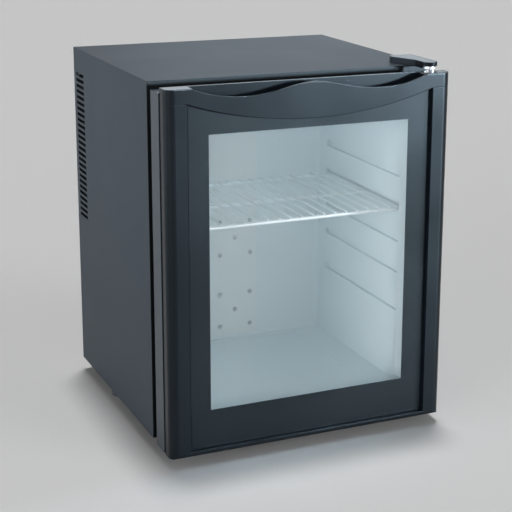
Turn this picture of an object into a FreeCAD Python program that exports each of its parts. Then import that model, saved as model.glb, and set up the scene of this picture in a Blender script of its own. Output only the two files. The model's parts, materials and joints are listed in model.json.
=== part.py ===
import FreeCAD, Part
import math
import os

# Glass door minibar fridge, closed, standing on its four feet.
# Millimetres. X runs along the width, with the hinges at +X. The door faces -Y. Z is up from the floor.
# The model is drawn with the cabinet's front face at y = 0, and is moved as it is saved so that the
# origin lies in the middle of its width and depth, on the floor.

V = FreeCAD.Vector

# Whole fridge
WIDTH = 402.0
CABINET_DEPTH = 335.0
CABINET_HEIGHT = 481.0
FOOT_HEIGHT = 19.0

# Clearances and cutting
CLEARANCE = 0.3
RUNNING_CLEARANCE = 0.05
OVERRUN = 5.0

# Steel shell
SHEET = 0.8
FRONT_FLANGE = 28.0
REAR_FLANGE = 13.0

# Vent slots, punched in both side panels near the rear
VENT_COUNT = 26
VENT_PITCH = 8.4
VENT_TOP_MARGIN = 37.5
VENT_REAR_MARGIN = 12.0
VENT_LENGTH = 37.0
VENT_HEIGHT = 4.6

# Inner liner: one vacuum formed tub, open to the front
LINER_WALL = 1.5
SIDE_INSULATION = 33.0
TOP_INSULATION = 29.0
BOTTOM_INSULATION = 22.0
LINER_REAR_MARGIN = 65.0
LINER_REAR_RADIUS = 5.0
LINER_FLANGE = 17.0
FLOOR_SILL_DEPTH = 88.0
FLOOR_TRAY_DEPTH = 1.2
FLOOR_TRAY_MARGIN = 45.0
FLOOR_TRAY_REAR_MARGIN = 10.0

# Shelf guides: grooves in the liner's side walls, at shares of the cabinet's height
GUIDE_HEIGHT_SHARES = (0.273, 0.390, 0.484, 0.586, 0.680)
GUIDE_HEIGHT = 9.0
GUIDE_DEPTH = 5.0
GUIDE_REAR_MARGIN = 28.0
SHELF_GUIDE_INDEX = 3

# Wire shelf
SHELF_FRONT = 3.5
SHELF_REAR_MARGIN = 40.5
SHELF_ROD_RADIUS = 2.4
SHELF_SIDE_PLAY = 2.2
SHELF_CORNER_RADIUS = 9.0
SHELF_BEND_STEPS = 4
SHELF_MIDDLE_SHARE = 0.473
WIRE_RADIUS = 1.3
WIRE_PITCH = 16.7
WIRE_SIDE_MARGIN = 12.0
WIRE_OVERHANG = 1.2

# Rear compartment behind the insulation
BULKHEAD_REAR_MARGIN = 51.0
BULKHEAD_SHEET = 0.8

# Cooling: plate in the cabin, cold blocks through the insulation, modules and heat sink behind
COLD_PLATE_WIDTH = 121.6
COLD_PLATE_THICKNESS = 2.0
COLD_PLATE_END_GAP = 1.0
COLD_BLOCK_WIDTH = 116.0
COLD_BLOCK_HEIGHT = 68.0
COLD_BLOCK_BACK = 4.0
UPPER_COOLER_SHARE = 0.3825
LOWER_COOLER_SHARE = 0.1414
MODULE_SIZE = 40.0
MODULE_THICKNESS = 3.8
SINK_WIDTH_SHARE = 0.418
SINK_BOTTOM = 36.0
SINK_TOP_MARGIN = 35.0
SINK_BASE = 5.0
SINK_FIN_COUNT = 19
SINK_FIN_HEIGHT = 29.0
SINK_FIN_THICKNESS = 1.6
SINK_EDGE_MARGIN = 8.0
STANDOFF_RADIUS = 4.5

# Screws in the cold plate: rows of three, two and three
PLATE_SCREW_PITCH_X = 50.0
PLATE_SCREW_PITCH_Z = 52.0
PLATE_SCREW_RADIUS = 2.0
PLATE_SCREW_HEAD_RADIUS = 3.6
PLATE_SCREW_HEAD_HEIGHT = 1.8
PLATE_SCREW_LENGTH = 9.0
COUNTERSINK_RADIUS = 5.6

# Screws elsewhere
SCREW_RADIUS = 2.0
SCREW_HEAD_RADIUS = 4.0
SCREW_HEAD_HEIGHT = 1.8
SCREW_LENGTH = 9.0
HEAD_TAPER_SHARE = 0.72
HEAD_SIDES = 12
SHANK_SIDES = 8

# Rear cover with its air slots
COVER_SHEET = 1.2
COVER_SLOT_COLUMNS = 3
COVER_SLOT_ROWS = 11
COVER_SLOT_LENGTH_SHARE = 0.23
COVER_SLOT_HEIGHT = 6.0
COVER_SLOT_PITCH_SHARE = 0.28
COVER_SLOT_PITCH_Z = 22.0
COVER_SLOT_TOP_MARGIN = 40.0
COVER_SCREW_SHARES = (0.06, 0.5, 0.94)

# Power supply and mains inlet, low in the rear compartment
POWER_WIDTH_SHARE = 0.194
POWER_HEIGHT = 110.0
POWER_DEPTH = 32.0
POWER_SIDE_MARGIN = 55.0
POWER_Z = 64.0
POWER_CHAMFER = 2.0
INLET_SIDE_MARGIN = 61.0
INLET_Z = 46.0
INLET_WIDTH = 30.0
INLET_HEIGHT = 22.0
INLET_DEPTH = 20.0
INLET_FLANGE = 4.0
INLET_FLANGE_THICKNESS = 1.4
INLET_WALL = 2.5
INLET_FLOOR = 4.0
INLET_CHAMFER = 2.0
INLET_PIN_PITCH = 14.0
INLET_PIN_OFFSET = 4.0
INLET_PIN_WIDTH = 2.0
INLET_PIN_HEIGHT = 4.0
INLET_PIN_LENGTH = 11.0

# Feet
FOOT_RADIUS = 15.0
FOOT_NECK_RADIUS = 11.0
FOOT_SIDES = 20
FOOT_SOLE_HEIGHT = 6.0
FOOT_SIDE_MARGIN = 8.0
FOOT_FRONT_SIDE_MARGIN = 36.0
FOOT_FRONT_Y = 64.0
FOOT_REAR_MARGIN = 122.0
FOOT_SCREW_RADIUS = 2.5
FOOT_SCREW_HEAD_RADIUS = 4.5
FOOT_SCREW_HEAD_HEIGHT = 2.5
FOOT_SCREW_RISE = 7.0

# Door
DOOR_GAP = 15.0
DOOR_THICKNESS = 54.0
DOOR_DROP = 5.0
DOOR_TOP_GAP = 1.0
MOULDING_DEPTH = 24.0
MOULDING_INSET = 1.0
MOULDING_CORNER_RADIUS = 12.0
BODY_TOP_DROP = 7.0
BODY_BOTTOM_RISE = 2.0
DOOR_BOTTOM_RADIUS = 4.0
DOOR_TOP_RADIUS = 1.6
DOOR_WALL = 3.0
PILLAR_WIDTH = 28.5
PANE_SIDE_GAP = 3.0
PANE_RECESS = 5.5
DOOR_LIP = 7.3

# Sealed glazing
PANE_THICKNESS = 4.0
INNER_PANE_THICKNESS = 3.0
SPACER_DEPTH = 12.0
SPACER_WIDTH = 6.0
SPACER_WALL = 1.2
SPACER_EDGE = 2.0
CLEAR_SIDE_MARGIN = 60.0
CLEAR_BOTTOM_MARGIN = 53.0
CLEAR_TOP_MARGIN = 61.5
UNIT_SIDE_MARGIN = 19.0
UNIT_BOTTOM_MARGIN = 17.0
UNIT_TOP_MARGIN = 8.0

# Top cap of the door: a handle moulding with two finger scallops over one trough
CAP_JOINT_DROP = 20.0
CAP_ARC_DROP = 28.5
CAP_PANE_COVER = 3.0
CAP_TROUGH_FLOOR = 6.0
CAP_TROUGH_SIDE_MARGIN = 39.0
CAP_FRONT_WALL = 3.5
CAP_REAR_WALL = 3.5
SCALLOP_SIDE_MARGIN = 36.0
SCALLOP_DEPTH = 13.0
SCALLOP_PEAK_DROP = 0.4
SCALLOP_X_SHARES = (0.0, 0.28, 0.56, 0.82, 1.0)
SCALLOP_DEPTH_SHARES = (0.0, 0.56, 1.0, 0.70, 0.0)

# Inner frame of the door and its magnetic gasket
LINER_FRAME_WALL = 2.0
LINER_FRAME_OPENING_MARGIN = 5.0
GASKET_SIDE_MARGIN = 14.0
GASKET_BOTTOM_MARGIN = 14.0
GASKET_TOP_MARGIN = 14.0
GASKET_WIDTH = 12.0
GASKET_BASE = 2.5
GASKET_NECK = 5.0
GASKET_BULB = 8.0
MAGNET_WIDTH = 7.0
MAGNET_THICKNESS = 3.0
MAGNET_END_GAP = 8.0

# Hinges, on one upright axis
HINGE_SIDE_MARGIN = 14.0
HINGE_DOOR_INSET = 17.0
HINGE_PLATE = 2.5
PIN_RADIUS = 3.0
PIN_LENGTH = 13.0
PIN_HEAD_RADIUS = 4.6
PIN_HEAD_HEIGHT = 1.6
BUSH_WALL = 2.0
BUSH_FLANGE = 2.5
BUSH_FLANGE_THICKNESS = 0.7
BUSH_SIDES = 16
TOP_ARM_HALF_WIDTH = 8.5
TOP_PLATE_REACH = 17.0
TOP_PLATE_BACK = 34.0
TOP_PLATE_KNEE_Y = 12.0
TOP_ARM_START_Y = -9.0
TOP_PLATE_SCREW_Y = 19.0
TOP_PLATE_SCREW_PITCH = 16.0
HINGE_COVER_HEIGHT = 9.0
HINGE_COVER_WALL = 1.4
HINGE_COVER_WIDTH = 41.0
HINGE_COVER_LEFT_Y = 28.0
HINGE_COVER_KNEE_Y = -12.0
HINGE_COVER_BACK = 38.0
HINGE_COVER_SIDE_GAP = 3.5
HINGE_COVER_NOSE_Y = -30.0
HINGE_COVER_NOSE_LIFT = 3.6
BOTTOM_WEB_Y = 3.0
BOTTOM_PLATE_BACK = 42.0
BOTTOM_PLATE_WIDTH = 46.0
BOTTOM_SCREW_Y = 28.0
BOTTOM_SCREW_PITCH = 26.0
BOTTOM_ARM_HALF_WIDTH = 11.0

# Places worked out from the sizes above
HALF = WIDTH / 2
CABINET_BOTTOM = FOOT_HEIGHT
CABINET_TOP = FOOT_HEIGHT + CABINET_HEIGHT
CAVITY_HALF = HALF - SIDE_INSULATION
CAVITY_BOTTOM = CABINET_BOTTOM + BOTTOM_INSULATION
LINER_DEPTH = CABINET_DEPTH - LINER_REAR_MARGIN
GUIDE_LENGTH = LINER_DEPTH - GUIDE_REAR_MARGIN
SHELF_DEPTH = LINER_DEPTH - SHELF_FRONT - SHELF_REAR_MARGIN
BULKHEAD_Y = CABINET_DEPTH - BULKHEAD_REAR_MARGIN
CAVITY_TOP = CABINET_TOP - TOP_INSULATION
DOOR_BACK = -DOOR_GAP
DOOR_FRONT = DOOR_BACK - DOOR_THICKNESS
DOOR_BOTTOM = CABINET_BOTTOM - DOOR_DROP
DOOR_TOP = CABINET_TOP - DOOR_TOP_GAP
BODY_FRONT = DOOR_FRONT + MOULDING_DEPTH
BODY_BOTTOM = DOOR_BOTTOM + BODY_BOTTOM_RISE
BODY_TOP = DOOR_TOP - BODY_TOP_DROP
RECESS_HALF = HALF - PILLAR_WIDTH
PANE_HALF = RECESS_HALF - PANE_SIDE_GAP
PANE_FRONT = DOOR_FRONT + PANE_RECESS
PANE_BACK = PANE_FRONT + PANE_THICKNESS
PANE_BOTTOM = DOOR_BOTTOM + DOOR_LIP
INNER_PANE_FRONT = PANE_BACK + SPACER_DEPTH
INNER_PANE_BACK = INNER_PANE_FRONT + INNER_PANE_THICKNESS
UNIT_HALF = HALF - CLEAR_SIDE_MARGIN + UNIT_SIDE_MARGIN
UNIT_BOTTOM = CABINET_BOTTOM + CLEAR_BOTTOM_MARGIN - UNIT_BOTTOM_MARGIN
UNIT_TOP = CABINET_TOP - CLEAR_TOP_MARGIN + UNIT_TOP_MARGIN
CAP_JOINT = CABINET_TOP - CAP_JOINT_DROP
CAP_ARC_BOTTOM = CAP_JOINT - CAP_ARC_DROP
REAR_COVER_BACK = CABINET_DEPTH - SHEET
REAR_COVER_FRONT = REAR_COVER_BACK - COVER_SHEET
INLET_X = -HALF + INLET_SIDE_MARGIN
COLD_PLATE_FRONT = LINER_DEPTH - COLD_PLATE_THICKNESS
MODULE_FRONT = BULKHEAD_Y + BULKHEAD_SHEET + COLD_BLOCK_BACK
SINK_FRONT = MODULE_FRONT + MODULE_THICKNESS
SINK_WIDTH = WIDTH * SINK_WIDTH_SHARE
POWER_WIDTH = WIDTH * POWER_WIDTH_SHARE
COOLER_HEIGHTS = (CABINET_BOTTOM + CABINET_HEIGHT * LOWER_COOLER_SHARE,
                  CABINET_BOTTOM + CABINET_HEIGHT * UPPER_COOLER_SHARE)
HINGE_X = HALF - HINGE_SIDE_MARGIN
HINGE_Y = DOOR_BACK - HINGE_DOOR_INSET
BUSH_RADIUS = PIN_RADIUS + RUNNING_CLEARANCE + BUSH_WALL
DEPTH_SHIFT = -(CABINET_DEPTH + SCREW_HEAD_HEIGHT + DOOR_FRONT) / 2


def block(x0, x1, y0, y1, z0, z1):
    """Box between two corners."""
    return Part.makeBox(x1 - x0, y1 - y0, z1 - z0, V(x0, y0, z0))


def closed_wire(points):
    """Straight sided outline through the points and back to the first."""
    return Part.makePolygon(list(points) + [points[0]])


def solid_of(outlines):
    """Solid whose flat faces have these corners."""
    solid = Part.Solid(Part.Shell([Part.Face(closed_wire(corners)) for corners in outlines]))
    if solid.Volume < 0:
        solid.reverse()
    return solid


def band(low, high):
    """Four cornered outlines that join one loop of points to another."""
    return [(low[index - 1], low[index], high[index], high[index - 1]) for index in range(len(low))]


def tapered(low_radius, high_radius, start, direction, length, sides):
    """Tapering bar with flats, from a point along a direction."""
    loops = []
    for radius, height in ((low_radius, 0), (high_radius, length)):
        turns = [2 * math.pi * index / sides for index in range(sides)]
        loops.append([V(radius * math.cos(turn), radius * math.sin(turn), height) for turn in turns])
    bar = solid_of(loops + band(*loops))
    bar.Placement = FreeCAD.Placement(start, FreeCAD.Rotation(V(0, 0, 1), direction))
    return bar


def rod(radius, start, direction, length, sides=0):
    """Bar from a point along a direction: round, or with flats where a number of sides is given."""
    if sides:
        return tapered(radius, radius, start, direction, length, sides)
    return Part.makeCylinder(radius, length, start, direction)


def prism(wire, travel):
    """Solid swept by a flat outline."""
    return Part.Face(wire).extrude(travel)


def mirrored(shape):
    """Mirror image across the middle of the width."""
    return shape.mirror(V(0, 0, 0), V(1, 0, 0))


def chamfered_block(x0, x1, y0, y1, z0, z1, chamfer):
    """Box whose four edges along its depth are chamfered."""
    corners = [V(x0 + chamfer, y0, z0), V(x1 - chamfer, y0, z0), V(x1, y0, z0 + chamfer),
               V(x1, y0, z1 - chamfer), V(x1 - chamfer, y0, z1), V(x0 + chamfer, y0, z1),
               V(x0, y0, z1 - chamfer), V(x0, y0, z0 + chamfer)]
    return prism(closed_wire(corners), V(0, y1 - y0, 0))


def ring_of(loops):
    """Closed ring, from the loops of points that run along it in turn round its section."""
    outlines = []
    for index in range(len(loops)):
        outlines += band(loops[index - 1], loops[index])
    return solid_of(outlines)


def frame_ring(profile, half_width, bottom, top):
    """Upright rectangular frame with mitred corners. The profile's points are (inset, y)."""
    loops = []
    for inset, y in profile:
        x = half_width - inset
        low = bottom + inset
        high = top - inset
        loops.append((V(-x, y, low), V(x, y, low), V(x, y, high), V(-x, y, high)))
    return ring_of(loops)


def pan_screw(at, out, radius, length, head_radius, head_height):
    """Screw whose head stands on the surface point, with its shank going in."""
    head = tapered(head_radius, head_radius * HEAD_TAPER_SHARE, at, out, head_height, HEAD_SIDES)
    shank = rod(radius, at, out * -1, length, SHANK_SIDES)
    return head.fuse(shank).removeSplitter()


def case_screw(at, out, length):
    """Screw of the size used for the sheets, brackets and sink."""
    return pan_screw(at, out, SCREW_RADIUS, length, SCREW_HEAD_RADIUS, SCREW_HEAD_HEIGHT)


def case_screw_hole(at, into, length):
    """Space of such a screw's shank."""
    return rod(SCREW_RADIUS, at, into, length, SHANK_SIDES)


def group(solids):
    """Separate like solids in one node."""
    return Part.makeCompound(solids)


def save(node, shape):
    """Move a finished piece into the part's own frame and write it."""
    placed = shape.copy()
    placed.translate(V(0, DEPTH_SHIFT, 0))
    placed.exportStep("parts/" + node + ".step")


# Steel shell


def left_side_panel():
    """Side sheet with front and rear flanges and the column of vent slots."""
    top = CABINET_TOP - SHEET
    sheet = block(-HALF, -HALF + SHEET, 0, CABINET_DEPTH, CABINET_BOTTOM, top)
    front = block(-HALF, -HALF + FRONT_FLANGE, 0, SHEET, CABINET_BOTTOM, top)
    rear = block(-HALF, -HALF + REAR_FLANGE, CABINET_DEPTH - SHEET, CABINET_DEPTH, CABINET_BOTTOM, top)
    panel = sheet.fuse([front, rear]).removeSplitter()
    slot_y = CABINET_DEPTH - VENT_REAR_MARGIN - VENT_LENGTH
    slots = []
    for index in range(VENT_COUNT):
        z = CABINET_TOP - VENT_TOP_MARGIN - index * VENT_PITCH
        slots.append(block(-HALF - OVERRUN, -HALF + SHEET + OVERRUN, slot_y, slot_y + VENT_LENGTH,
                           z - VENT_HEIGHT / 2, z + VENT_HEIGHT / 2))
    return panel.cut(slots + cover_screw_rods(-1))


def top_panel():
    """Top sheet with a front flange between the side flanges and a rear flange."""
    sheet = block(-HALF, HALF, 0, CABINET_DEPTH, CABINET_TOP - SHEET, CABINET_TOP)
    half = HALF - FRONT_FLANGE
    front = block(-half, half, 0, SHEET, CABINET_TOP - FRONT_FLANGE, CABINET_TOP)
    rear = block(-HALF + REAR_FLANGE, HALF - REAR_FLANGE, CABINET_DEPTH - SHEET, CABINET_DEPTH,
                 CABINET_TOP - REAR_FLANGE, CABINET_TOP)
    panel = sheet.fuse([front, rear]).removeSplitter()
    return panel.cut(top_hinge_screw_rods())


def base_pan():
    """Floor sheet of the shell, with upturned front and rear edges."""
    floor = block(-HALF + SHEET, HALF - SHEET, SHEET, REAR_COVER_BACK, CABINET_BOTTOM, CABINET_BOTTOM + SHEET)
    half = HALF - FRONT_FLANGE
    front = block(-half, half, 0, SHEET, CABINET_BOTTOM, CAVITY_BOTTOM - LINER_WALL)
    rear = block(-HALF + REAR_FLANGE, HALF - REAR_FLANGE, CABINET_DEPTH - SHEET, CABINET_DEPTH,
                 CABINET_BOTTOM, CABINET_BOTTOM + REAR_FLANGE)
    pan = floor.fuse([front, rear]).removeSplitter()
    cuts = [rod(FOOT_SCREW_RADIUS, V(x, y, CABINET_BOTTOM - OVERRUN), V(0, 0, 1), OVERRUN * 2, SHANK_SIDES)
            for x, y in foot_places()]
    cuts += bottom_hinge_screw_rods()
    return pan.cut(cuts)


def rear_bulkhead():
    """Sheet behind the insulation, cut out for the cold blocks."""
    sheet = block(-HALF + SHEET, HALF - SHEET, BULKHEAD_Y, BULKHEAD_Y + BULKHEAD_SHEET,
                  CABINET_BOTTOM + SHEET, CABINET_TOP - SHEET)
    cuts = [cold_block_space(z) for z in COOLER_HEIGHTS]
    cuts += standoff_rods()
    return sheet.cut(cuts)


# Liner and insulation


def guide_heights():
    """Height of the middle of each shelf guide."""
    return [CABINET_BOTTOM + CABINET_HEIGHT * share for share in GUIDE_HEIGHT_SHARES]


def cavity(wall):
    """Space inside the liner, grown by a wall, with the shelf grooves."""
    body = block(-CAVITY_HALF - wall, CAVITY_HALF + wall, -OVERRUN, LINER_DEPTH + wall,
                 CAVITY_BOTTOM - wall, CAVITY_TOP + wall)
    rear_edges = [edge for edge in body.Edges
                  if min(vertex.Point.y for vertex in edge.Vertexes) > LINER_DEPTH / 2]
    body = body.makeFillet(LINER_REAR_RADIUS + wall, rear_edges)
    grooves = []
    for z in guide_heights():
        half = CAVITY_HALF + GUIDE_DEPTH + wall
        grooves.append(block(-half, half, -OVERRUN, GUIDE_LENGTH + wall,
                             z - GUIDE_HEIGHT / 2 - wall, z + GUIDE_HEIGHT / 2 + wall))
    return body.fuse(grooves).removeSplitter()


def floor_tray(bottom):
    """Shallow well in the liner's floor, from some height up into the cavity."""
    half = CAVITY_HALF - FLOOR_TRAY_MARGIN
    return block(-half, half, FLOOR_SILL_DEPTH, LINER_DEPTH - FLOOR_TRAY_REAR_MARGIN, bottom,
                 CAVITY_BOTTOM + FLOOR_TRAY_DEPTH)


def inner_liner():
    """White tub with five pairs of shelf grooves, a sunk floor tray and a front flange."""
    front_cut = block(-HALF, HALF, -OVERRUN, SHEET, CABINET_BOTTOM, CABINET_TOP)
    flange = block(-CAVITY_HALF - LINER_FLANGE, CAVITY_HALF + LINER_FLANGE, SHEET, SHEET + LINER_WALL,
                   CAVITY_BOTTOM - LINER_FLANGE, CAVITY_TOP + LINER_FLANGE)
    tray_bottom = CAVITY_BOTTOM - FLOOR_TRAY_DEPTH
    liner = cavity(LINER_WALL).fuse([flange, floor_tray(tray_bottom - LINER_WALL)]).removeSplitter()
    liner = liner.cut([cavity(0), front_cut, floor_tray(tray_bottom)])
    return liner.cut([cold_block_space(z) for z in COOLER_HEIGHTS])


def foam_insulation():
    """Foam poured between the shell and the liner."""
    foam = block(-HALF + SHEET, HALF - SHEET, SHEET + LINER_WALL, BULKHEAD_Y,
                 CABINET_BOTTOM + SHEET, CABINET_TOP - SHEET)
    cuts = [cavity(LINER_WALL), floor_tray(CAVITY_BOTTOM - FLOOR_TRAY_DEPTH - LINER_WALL)]
    cuts += [cold_block_space(z) for z in COOLER_HEIGHTS]
    cuts += top_hinge_screw_rods()
    cuts += bottom_hinge_screw_rods()
    cuts += [rod(FOOT_SCREW_RADIUS, V(x, y, CABINET_BOTTOM), V(0, 0, 1), FOOT_SCREW_RISE, SHANK_SIDES)
             for x, y in foot_places()]
    return foam.cut(cuts)


# Cooling


def cold_block_space(z):
    """Space that a cold block takes, from the cold plate to its module."""
    return block(-COLD_BLOCK_WIDTH / 2, COLD_BLOCK_WIDTH / 2, LINER_DEPTH, MODULE_FRONT,
                 z - COLD_BLOCK_HEIGHT / 2, z + COLD_BLOCK_HEIGHT / 2)


def plate_screw_places(z):
    """Rows of three, two and three screws about a cooler's middle."""
    places = []
    for row in (-1, 0, 1):
        steps = (-0.5, 0.5) if row == 0 else (-1, 0, 1)
        for step in steps:
            places.append(V(step * PLATE_SCREW_PITCH_X, COLD_PLATE_FRONT, z + row * PLATE_SCREW_PITCH_Z / 2))
    return places


def rear_wall_plate():
    """Painted cold plate on the liner's rear wall, with plain holes above and countersunk ones below."""
    plate = block(-COLD_PLATE_WIDTH / 2, COLD_PLATE_WIDTH / 2, COLD_PLATE_FRONT, LINER_DEPTH,
                  CAVITY_BOTTOM + LINER_REAR_RADIUS + COLD_PLATE_END_GAP,
                  CAVITY_TOP - LINER_REAR_RADIUS - COLD_PLATE_END_GAP)
    lower, upper = COOLER_HEIGHTS
    cuts = [rod(PLATE_SCREW_RADIUS, at, V(0, 1, 0), COLD_PLATE_THICKNESS, SHANK_SIDES)
            for at in plate_screw_places(upper)]
    cuts += [countersink(at) for at in plate_screw_places(lower)]
    return plate.cut(cuts)


def countersink(at):
    """Cone that a flat head lies in, wide at the plate's face."""
    return tapered(COUNTERSINK_RADIUS, PLATE_SCREW_RADIUS, at, V(0, 1, 0), COLD_PLATE_THICKNESS, SHANK_SIDES)


def upper_plate_screws():
    """Bright pan head screws of the upper cooler."""
    return group([pan_screw(at, V(0, -1, 0), PLATE_SCREW_RADIUS, PLATE_SCREW_LENGTH,
                            PLATE_SCREW_HEAD_RADIUS, PLATE_SCREW_HEAD_HEIGHT)
                  for at in plate_screw_places(COOLER_HEIGHTS[1])])


def lower_plate_screws():
    """Painted flat head screws of the lower cooler, sunk in their countersinks."""
    screws = []
    middle = (COUNTERSINK_RADIUS + PLATE_SCREW_RADIUS) / 2
    for at in plate_screw_places(COOLER_HEIGHTS[0]):
        seat = at + V(0, COLD_PLATE_THICKNESS / 2, 0)
        head = tapered(middle, PLATE_SCREW_RADIUS, seat, V(0, 1, 0), COLD_PLATE_THICKNESS / 2, SHANK_SIDES)
        shank = rod(PLATE_SCREW_RADIUS, at + V(0, COLD_PLATE_THICKNESS, 0), V(0, 1, 0),
                    PLATE_SCREW_LENGTH - COLD_PLATE_THICKNESS, SHANK_SIDES)
        screws.append(head.fuse(shank).removeSplitter())
    return group(screws)


def cold_blocks():
    """Aluminium blocks that carry the cold through the insulation."""
    blocks = []
    for z in COOLER_HEIGHTS:
        holes = [rod(PLATE_SCREW_RADIUS, at, V(0, 1, 0), PLATE_SCREW_LENGTH, SHANK_SIDES)
                 for at in plate_screw_places(z)]
        blocks.append(cold_block_space(z).cut(holes))
    return group(blocks)


def thermoelectric_modules():
    """Thin square modules between the cold blocks and the heat sink."""
    half = MODULE_SIZE / 2
    return group([block(-half, half, MODULE_FRONT, SINK_FRONT, z - half, z + half) for z in COOLER_HEIGHTS])


def heat_sink():
    """Extruded aluminium sink with upright fins that stand towards the rear cover."""
    bottom = CABINET_BOTTOM + SINK_BOTTOM
    top = CABINET_TOP - SINK_TOP_MARGIN
    back = SINK_FRONT + SINK_BASE
    sink = block(-SINK_WIDTH / 2, SINK_WIDTH / 2, SINK_FRONT, back, bottom, top)
    span = SINK_WIDTH - SINK_FIN_THICKNESS
    fins = []
    for index in range(SINK_FIN_COUNT):
        x = -SINK_WIDTH / 2 + span * index / (SINK_FIN_COUNT - 1)
        if abs(abs(x + SINK_FIN_THICKNESS / 2) - SINK_WIDTH / 2 + SINK_EDGE_MARGIN) > SCREW_HEAD_RADIUS:
            fins.append(block(x, x + SINK_FIN_THICKNESS, back, back + SINK_FIN_HEIGHT, bottom, top))
    sink = sink.fuse(fins).removeSplitter()
    return sink.cut(standoff_rods())


def standoff_places():
    """Four points near the corners of the heat sink."""
    places = []
    for x in (-SINK_WIDTH / 2 + SINK_EDGE_MARGIN, SINK_WIDTH / 2 - SINK_EDGE_MARGIN):
        places.append(V(x, 0, CABINET_BOTTOM + SINK_BOTTOM + SINK_EDGE_MARGIN))
        places.append(V(x, 0, CABINET_TOP - SINK_TOP_MARGIN - SINK_EDGE_MARGIN))
    return places


def standoff_rods():
    """Bars along the sink's screws, from the insulation to the back of the sink's base."""
    length = SINK_FRONT + SINK_BASE - BULKHEAD_Y
    return [case_screw_hole(V(at.x, BULKHEAD_Y, at.z), V(0, 1, 0), length) for at in standoff_places()]


def sink_standoffs():
    """Sleeves that hold the sink off the bulkhead."""
    start = BULKHEAD_Y + BULKHEAD_SHEET
    sleeves = []
    for at in standoff_places():
        outside = rod(STANDOFF_RADIUS, V(at.x, start, at.z), V(0, 1, 0), SINK_FRONT - start, HEAD_SIDES)
        inside = case_screw_hole(V(at.x, start, at.z), V(0, 1, 0), SINK_FRONT - start)
        sleeves.append(outside.cut(inside))
    return group(sleeves)


def sink_screws():
    """Screws through the sink's base and the sleeves into the bulkhead."""
    back = SINK_FRONT + SINK_BASE
    return group([case_screw(V(at.x, back, at.z), V(0, 1, 0), back - BULKHEAD_Y) for at in standoff_places()])


def power_supply():
    """Closed supply box on the bulkhead."""
    start = BULKHEAD_Y + BULKHEAD_SHEET
    z = CABINET_BOTTOM + POWER_Z
    x = HALF - POWER_SIDE_MARGIN
    return chamfered_block(x - POWER_WIDTH / 2, x + POWER_WIDTH / 2, start, start + POWER_DEPTH,
                           z - POWER_HEIGHT / 2, z + POWER_HEIGHT / 2, POWER_CHAMFER)


# Rear cover and mains inlet


def cover_screw_places(side):
    """Heads of the rear cover's screws down one side, -1 for left and 1 for right."""
    bottom = CABINET_BOTTOM + REAR_FLANGE
    span = CABINET_HEIGHT - REAR_FLANGE * 2
    x = side * (HALF - REAR_FLANGE / 2)
    return [V(x, CABINET_DEPTH, bottom + span * share) for share in COVER_SCREW_SHARES]


def cover_screw_rods(side):
    """Bars along the rear cover's screws down one side."""
    return [case_screw_hole(at, V(0, -1, 0), SHEET + COVER_SHEET) for at in cover_screw_places(side)]


def rear_cover_screws():
    """Screws through the side panels' rear flanges into the cover."""
    return group([case_screw(at, V(0, 1, 0), SHEET + COVER_SHEET)
                  for at in cover_screw_places(1) + cover_screw_places(-1)])


def inlet_outline(margin, y0, y1):
    """Block about the inlet's middle, grown by a margin."""
    z = CABINET_BOTTOM + INLET_Z
    half_x = INLET_WIDTH / 2 + margin
    half_z = INLET_HEIGHT / 2 + margin
    return chamfered_block(INLET_X - half_x, INLET_X + half_x, y0, y1, z - half_z, z + half_z, INLET_CHAMFER)


def rear_cover():
    """Sheet that closes the rear compartment, with three columns of air slots."""
    sheet = block(-HALF + SHEET, HALF - SHEET, REAR_COVER_FRONT, REAR_COVER_BACK,
                  CABINET_BOTTOM + SHEET, CABINET_TOP - SHEET)
    cuts = []
    for column in range(COVER_SLOT_COLUMNS):
        x = (column - (COVER_SLOT_COLUMNS - 1) / 2) * WIDTH * COVER_SLOT_PITCH_SHARE
        half = WIDTH * COVER_SLOT_LENGTH_SHARE / 2
        for row in range(COVER_SLOT_ROWS):
            z = CABINET_TOP - COVER_SLOT_TOP_MARGIN - row * COVER_SLOT_PITCH_Z
            cuts.append(block(x - half, x + half, REAR_COVER_FRONT, REAR_COVER_BACK,
                              z - COVER_SLOT_HEIGHT / 2, z + COVER_SLOT_HEIGHT / 2))
    cuts.append(inlet_outline(0, REAR_COVER_FRONT, REAR_COVER_BACK))
    cuts += cover_screw_rods(-1) + cover_screw_rods(1)
    return sheet.cut(cuts)


def mains_inlet():
    """Socket body that a loose mains lead plugs into, with its flange on the cover."""
    front = REAR_COVER_BACK - INLET_DEPTH
    body = inlet_outline(0, front, REAR_COVER_BACK)
    flange = inlet_outline(INLET_FLANGE, REAR_COVER_BACK, REAR_COVER_BACK + INLET_FLANGE_THICKNESS)
    hollow = inlet_outline(-INLET_WALL, front + INLET_FLOOR, REAR_COVER_BACK + OVERRUN)
    return body.fuse(flange).removeSplitter().cut([hollow] + inlet_pin_blocks())


def inlet_pin_blocks():
    """Three flat pins standing on the inlet's floor."""
    start = REAR_COVER_BACK - INLET_DEPTH + INLET_FLOOR / 2
    z = CABINET_BOTTOM + INLET_Z
    pins = []
    for x, dz in ((-INLET_PIN_PITCH / 2, 0), (0, INLET_PIN_OFFSET), (INLET_PIN_PITCH / 2, 0)):
        pins.append(block(INLET_X + x - INLET_PIN_WIDTH / 2, INLET_X + x + INLET_PIN_WIDTH / 2,
                          start, start + INLET_PIN_LENGTH,
                          z + dz - INLET_PIN_HEIGHT / 2, z + dz + INLET_PIN_HEIGHT / 2))
    return pins


# Feet


def foot_places():
    """Middle of each foot, front pair first."""
    front_x = HALF - FOOT_FRONT_SIDE_MARGIN - FOOT_RADIUS
    rear_x = HALF - FOOT_SIDE_MARGIN - FOOT_RADIUS
    rear_y = CABINET_DEPTH - FOOT_REAR_MARGIN
    return [(-front_x, FOOT_FRONT_Y), (front_x, FOOT_FRONT_Y), (-rear_x, rear_y), (rear_x, rear_y)]


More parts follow.
